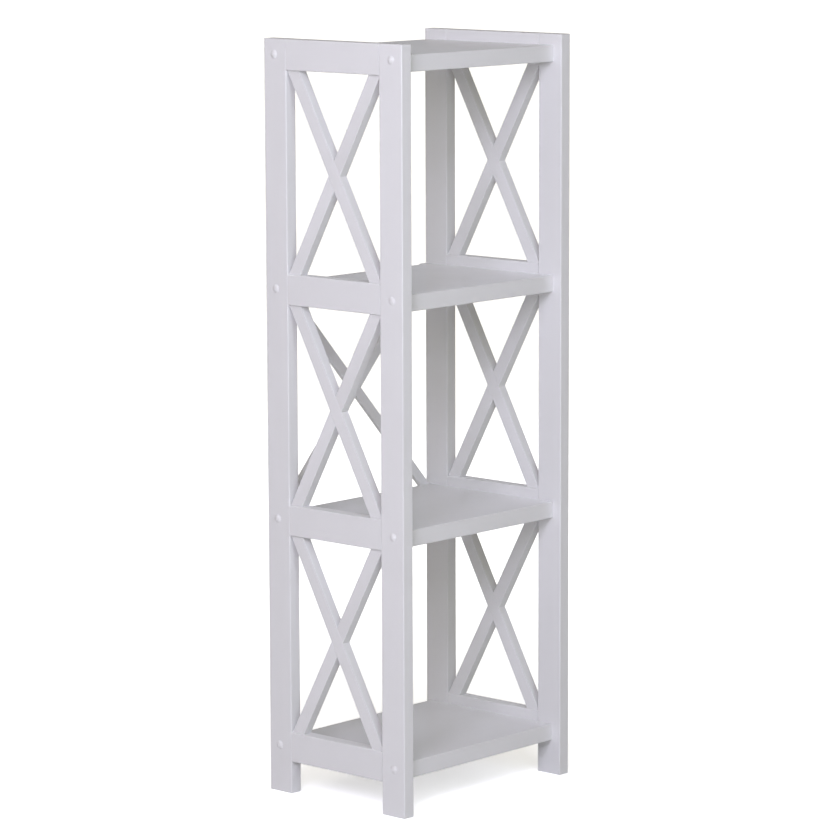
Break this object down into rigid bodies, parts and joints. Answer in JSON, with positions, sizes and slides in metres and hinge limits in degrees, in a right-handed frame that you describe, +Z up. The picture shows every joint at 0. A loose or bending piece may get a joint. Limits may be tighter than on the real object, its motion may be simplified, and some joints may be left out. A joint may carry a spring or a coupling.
{
  "type": "slim open bookcase",
  "caption": "Tall slim open bookcase in white satin paint, with crossed slats in its side frames, open shelves, domed screw caps and a crossed brace behind the middle bay.",
  "frame": {"origin": "on the floor, under the middle of the bookcase", "axes": "+Z up, the front faces -Y, the side frames stand at -X and +X"},
  "size_m": [0.3474, 0.252, 1.04],
  "materials": {
    "frame_paint": "white satin paint over wood, with eased edges",
    "shelf_paint": "white satin paint over wood board, smoother and glossier on the shelf surface",
    "cap_plastic": "moulded white plastic, satin gloss",
    "beech_dowel": "bare beech",
    "steel_fixing": "bright zinc plate"
  },
  "bodies": {
    "root": {"left_front_stile": "frame_paint", "left_rear_stile": "frame_paint", "left_bottom_rail": "frame_paint", "left_lower_rail": "frame_paint", "left_upper_rail": "frame_paint", "left_top_rail": "frame_paint", "left_bottom_slat_a": "frame_paint", "left_bottom_slat_b": "frame_paint", "left_middle_slat_a": "frame_paint", "left_middle_slat_b": "frame_paint", "left_top_slat_a": "frame_paint", "left_top_slat_b": "frame_paint", "right_front_stile": "frame_paint", "right_rear_stile": "frame_paint", "right_bottom_rail": "frame_paint", "right_lower_rail": "frame_paint", "right_upper_rail": "frame_paint", "right_top_rail": "frame_paint", "right_bottom_slat_a": "frame_paint", "right_bottom_slat_b": "frame_paint", "right_middle_slat_a": "frame_paint", "right_middle_slat_b": "frame_paint", "right_top_slat_a": "frame_paint", "right_top_slat_b": "frame_paint", "bottom_shelf": "shelf_paint", "lower_shelf": "shelf_paint", "upper_shelf": "shelf_paint", "top_shelf": "shelf_paint", "back_brace_slat_a": "frame_paint", "back_brace_slat_b": "frame_paint", "left_rail_dowels": "beech_dowel", "left_slat_pins": "steel_fixing", "left_shelf_dowels": "beech_dowel", "left_shelf_screws": "steel_fixing", "left_screw_caps": "cap_plastic", "right_rail_dowels": "beech_dowel", "right_slat_pins": "steel_fixing", "right_shelf_dowels": "beech_dowel", "right_shelf_screws": "steel_fixing", "right_screw_caps": "cap_plastic", "back_brace_screws": "steel_fixing"}
  },
  "joints": []
}
